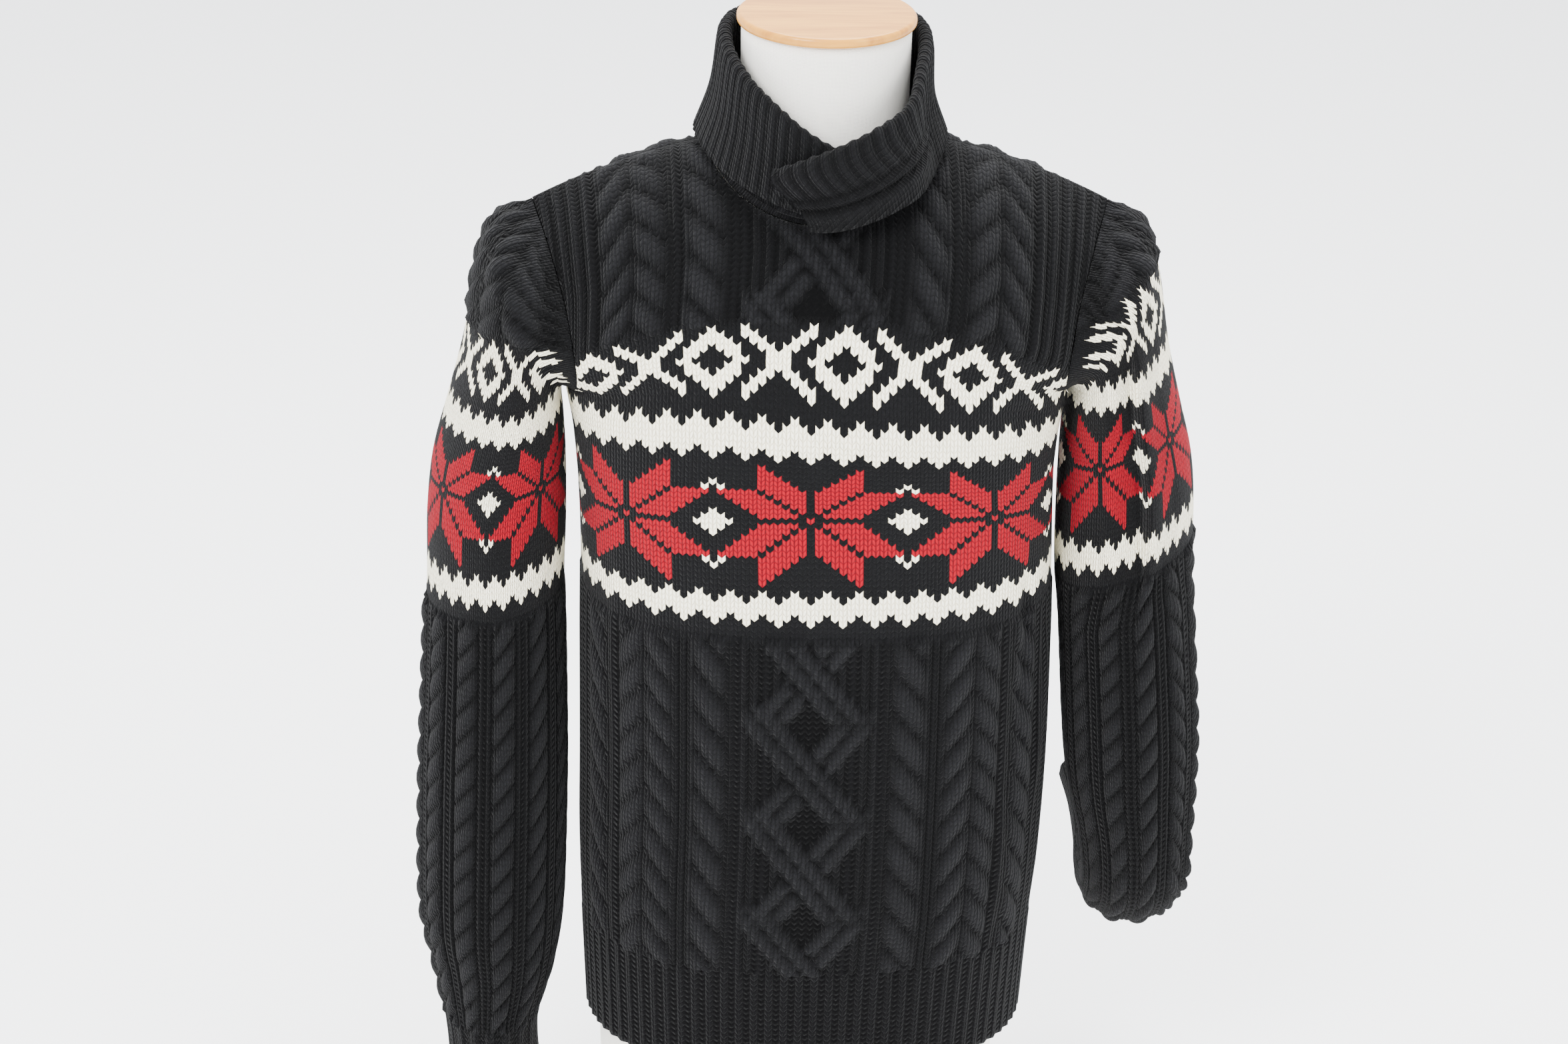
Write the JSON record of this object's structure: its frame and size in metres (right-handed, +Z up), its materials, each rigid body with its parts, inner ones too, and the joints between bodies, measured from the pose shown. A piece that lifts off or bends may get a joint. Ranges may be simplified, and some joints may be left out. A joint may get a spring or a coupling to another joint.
{
  "type": "cable knit sweater on a limbless dress form",
  "caption": "Long-sleeved wool pullover with a crossed ribbed shawl collar, cables and a patterned band, worn by a limbless padded dress form with a wooden neck cap.",
  "frame": {"origin": "centre of the flat base of the dress form", "axes": "+Z up, -Y to the wearer's front, +X to the wearer's left"},
  "size_m": [0.5907, 0.2729, 0.9273],
  "materials": {
    "wool": "thick knitted wool, charcoal, with a cream and red band",
    "linen": "padded off-white linen, matt",
    "maple": "varnished maple, glossy"
  },
  "bodies": {
    "root": {"front": "wool", "back": "wool", "sleeve_left": "wool", "sleeve_right": "wool", "collar": "wool", "form_torso": "linen", "form_neck_cap": "maple"}
  },
  "joints": []
}
